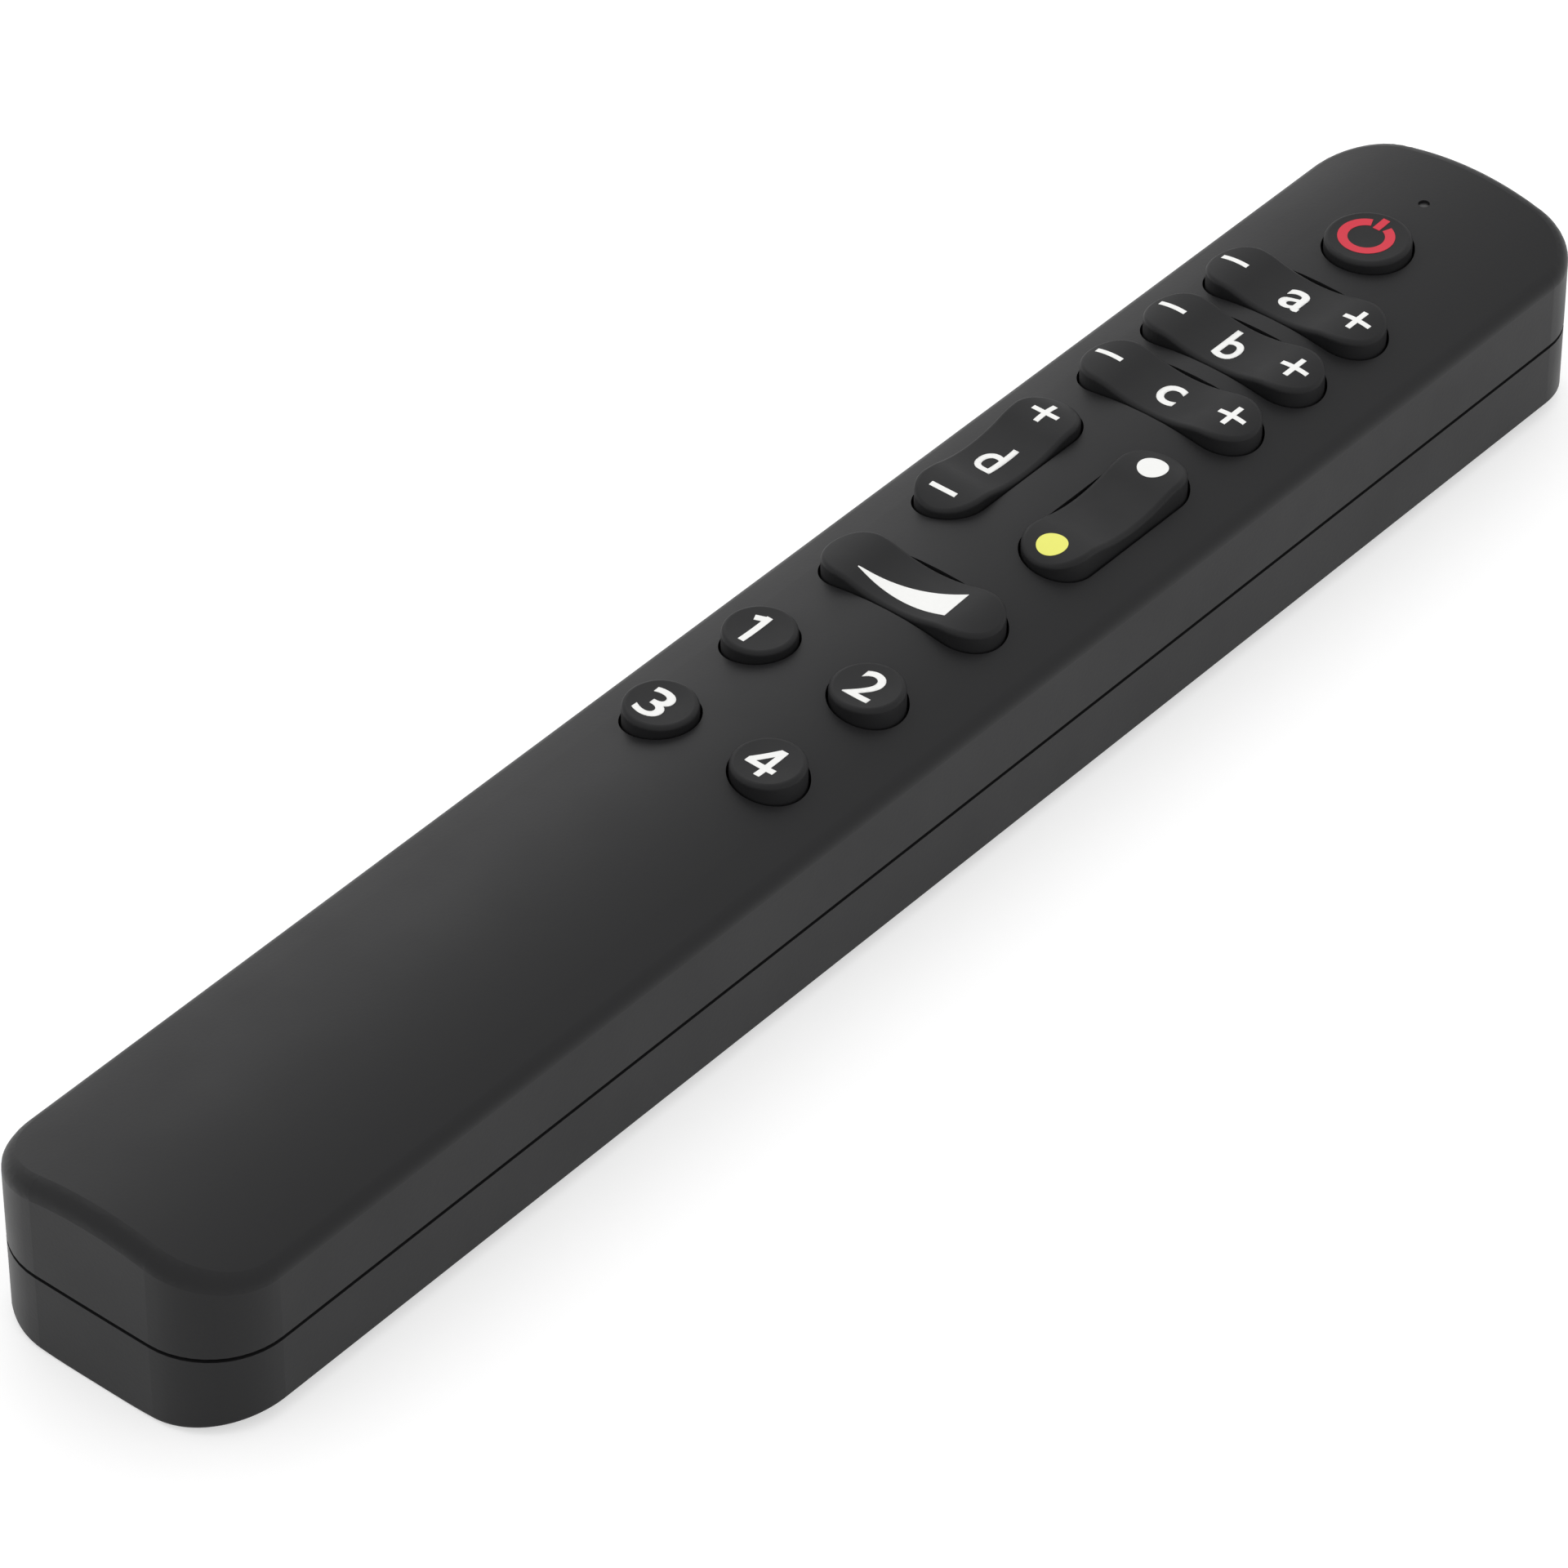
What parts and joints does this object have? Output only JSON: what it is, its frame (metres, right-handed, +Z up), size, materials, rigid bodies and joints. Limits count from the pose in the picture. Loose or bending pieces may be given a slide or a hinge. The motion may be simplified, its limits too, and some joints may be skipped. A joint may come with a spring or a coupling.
{
  "type": "smart home remote control",
  "caption": "Slim black handset with rocker keys and round keys on a crowned top, a satin two-shell housing and a battery cover in the underside.",
  "frame": {"origin": "centre of the plan on the flat underside, which is z = 0", "axes": "+X to the user's right, +Y along the handset to the power key end, +Z up out of the keys"},
  "size_m": [0.0284, 0.1898, 0.0202],
  "materials": {
    "shell_plastic": "fine satin moulded black plastic",
    "key_rubber": "matte black rubber-like keys with printed marks",
    "mat_rubber": "translucent grey silicone",
    "board_laminate": "green solder mask over laminate",
    "pad_carbon": "printed carbon",
    "shield_tin": "tinned steel can",
    "chip_resin": "moulded black resin",
    "capacitor_ceramic": "tan ceramic chips",
    "capacitor_sleeve": "shrunk plastic sleeve",
    "trace_copper": "gold-flashed copper track",
    "pipe_clear": "dark clear moulded light pipe",
    "lamp_resin": "milky lamp body",
    "cell_jacket": "plain printed metal jacket",
    "contact_nickel": "nickel-plated spring steel",
    "screw_steel": "zinc-plated steel"
  },
  "bodies": {
    "housing": {"antenna_trace": "trace_copper", "battery_cell_left": "cell_jacket", "battery_cell_right": "cell_jacket", "board_screws": "screw_steel", "bridge_plate": "contact_nickel", "case_screws": "screw_steel", "chip_capacitors": "capacitor_ceramic", "circuit_board": "board_laminate", "contact_pads": "pad_carbon", "crystal": "shield_tin", "domes_1": "mat_rubber", "domes_2": "mat_rubber", "domes_3": "mat_rubber", "domes_4": "mat_rubber", "domes_a": "mat_rubber", "domes_b": "mat_rubber", "domes_c": "mat_rubber", "domes_d": "mat_rubber", "domes_dimmer": "mat_rubber", "domes_power": "mat_rubber", "domes_tint": "mat_rubber", "head_spring": "contact_nickel", "indicator_lamp": "lamp_resin", "keypad_mat": "mat_rubber", "light_pipe": "pipe_clear", "lower_shell": "shell_plastic", "microcontroller": "chip_resin", "negative_plate": "contact_nickel", "positive_plate": "contact_nickel", "radio_module": "shield_tin", "reservoir_capacitor": "capacitor_sleeve", "tail_spring": "contact_nickel", "upper_shell": "shell_plastic"},
    "key_1": {"key_1": "key_rubber"},
    "key_2": {"key_2": "key_rubber"},
    "key_3": {"key_3": "key_rubber"},
    "key_4": {"key_4": "key_rubber"},
    "key_power": {"key_power": "key_rubber"},
    "rocker_a": {"rocker_a": "key_rubber"},
    "rocker_b": {"rocker_b": "key_rubber"},
    "rocker_c": {"rocker_c": "key_rubber"},
    "rocker_d": {"rocker_d": "key_rubber"},
    "rocker_dimmer": {"rocker_dimmer": "key_rubber"},
    "rocker_tint": {"rocker_tint": "key_rubber"},
    "battery_cover": {"battery_cover": "shell_plastic", "cover_latch": "shell_plastic"}
  },
  "joints": [
    {"name": "power_press", "type": "slide", "parent": "housing", "child": "key_power", "axis": [0, 0, -1], "range_m": [0, 0.0008], "stiffness_N_per_m": 1500, "deforming": ["domes_power"]},
    {"name": "a_rock", "type": "hinge", "parent": "housing", "child": "rocker_a", "pos_m": [0, 0.0668, 0.0159], "axis": [0, 1, 0], "range_deg": [-5, 5], "stiffness_Nm_per_rad": 0.08, "deforming": ["domes_a"]},
    {"name": "b_rock", "type": "hinge", "parent": "housing", "child": "rocker_b", "pos_m": [0, 0.05745, 0.0159], "axis": [0, 1, 0], "range_deg": [-5, 5], "stiffness_Nm_per_rad": 0.08, "deforming": ["domes_b"]},
    {"name": "c_rock", "type": "hinge", "parent": "housing", "child": "rocker_c", "pos_m": [0, 0.0481, 0.0159], "axis": [0, 1, 0], "range_deg": [-5, 5], "stiffness_Nm_per_rad": 0.08, "deforming": ["domes_c"]},
    {"name": "d_rock", "type": "hinge", "parent": "housing", "child": "rocker_d", "pos_m": [-0.00615, 0.0307, 0.0159], "axis": [1, 0, 0], "range_deg": [-5, 5], "stiffness_Nm_per_rad": 0.08, "deforming": ["domes_d"]},
    {"name": "tint_rock", "type": "hinge", "parent": "housing", "child": "rocker_tint", "pos_m": [0.00615, 0.0307, 0.0159], "axis": [1, 0, 0], "range_deg": [-5, 5], "stiffness_Nm_per_rad": 0.08, "deforming": ["domes_tint"]},
    {"name": "dimmer_rock", "type": "hinge", "parent": "housing", "child": "rocker_dimmer", "pos_m": [0, 0.0112, 0.0159], "axis": [0, 1, 0], "range_deg": [-5, 5], "stiffness_Nm_per_rad": 0.08, "deforming": ["domes_dimmer"]},
    {"name": "1_press", "type": "slide", "parent": "housing", "child": "key_1", "axis": [0, 0, -1], "range_m": [0, 0.0008], "stiffness_N_per_m": 1500, "deforming": ["domes_1"]},
    {"name": "2_press", "type": "slide", "parent": "housing", "child": "key_2", "axis": [0, 0, -1], "range_m": [0, 0.0008], "stiffness_N_per_m": 1500, "deforming": ["domes_2"]},
    {"name": "3_press", "type": "slide", "parent": "housing", "child": "key_3", "axis": [0, 0, -1], "range_m": [0, 0.0008], "stiffness_N_per_m": 1500, "deforming": ["domes_3"]},
    {"name": "4_press", "type": "slide", "parent": "housing", "child": "key_4", "axis": [0, 0, -1], "range_m": [0, 0.0008], "stiffness_N_per_m": 1500, "deforming": ["domes_4"]},
    {"name": "cover_swing", "type": "hinge", "parent": "housing", "child": "battery_cover", "pos_m": [0, -0.0332, 0], "axis": [1, 0, 0], "range_deg": [0, 70], "deforming": ["cover_latch"]}
  ]
}
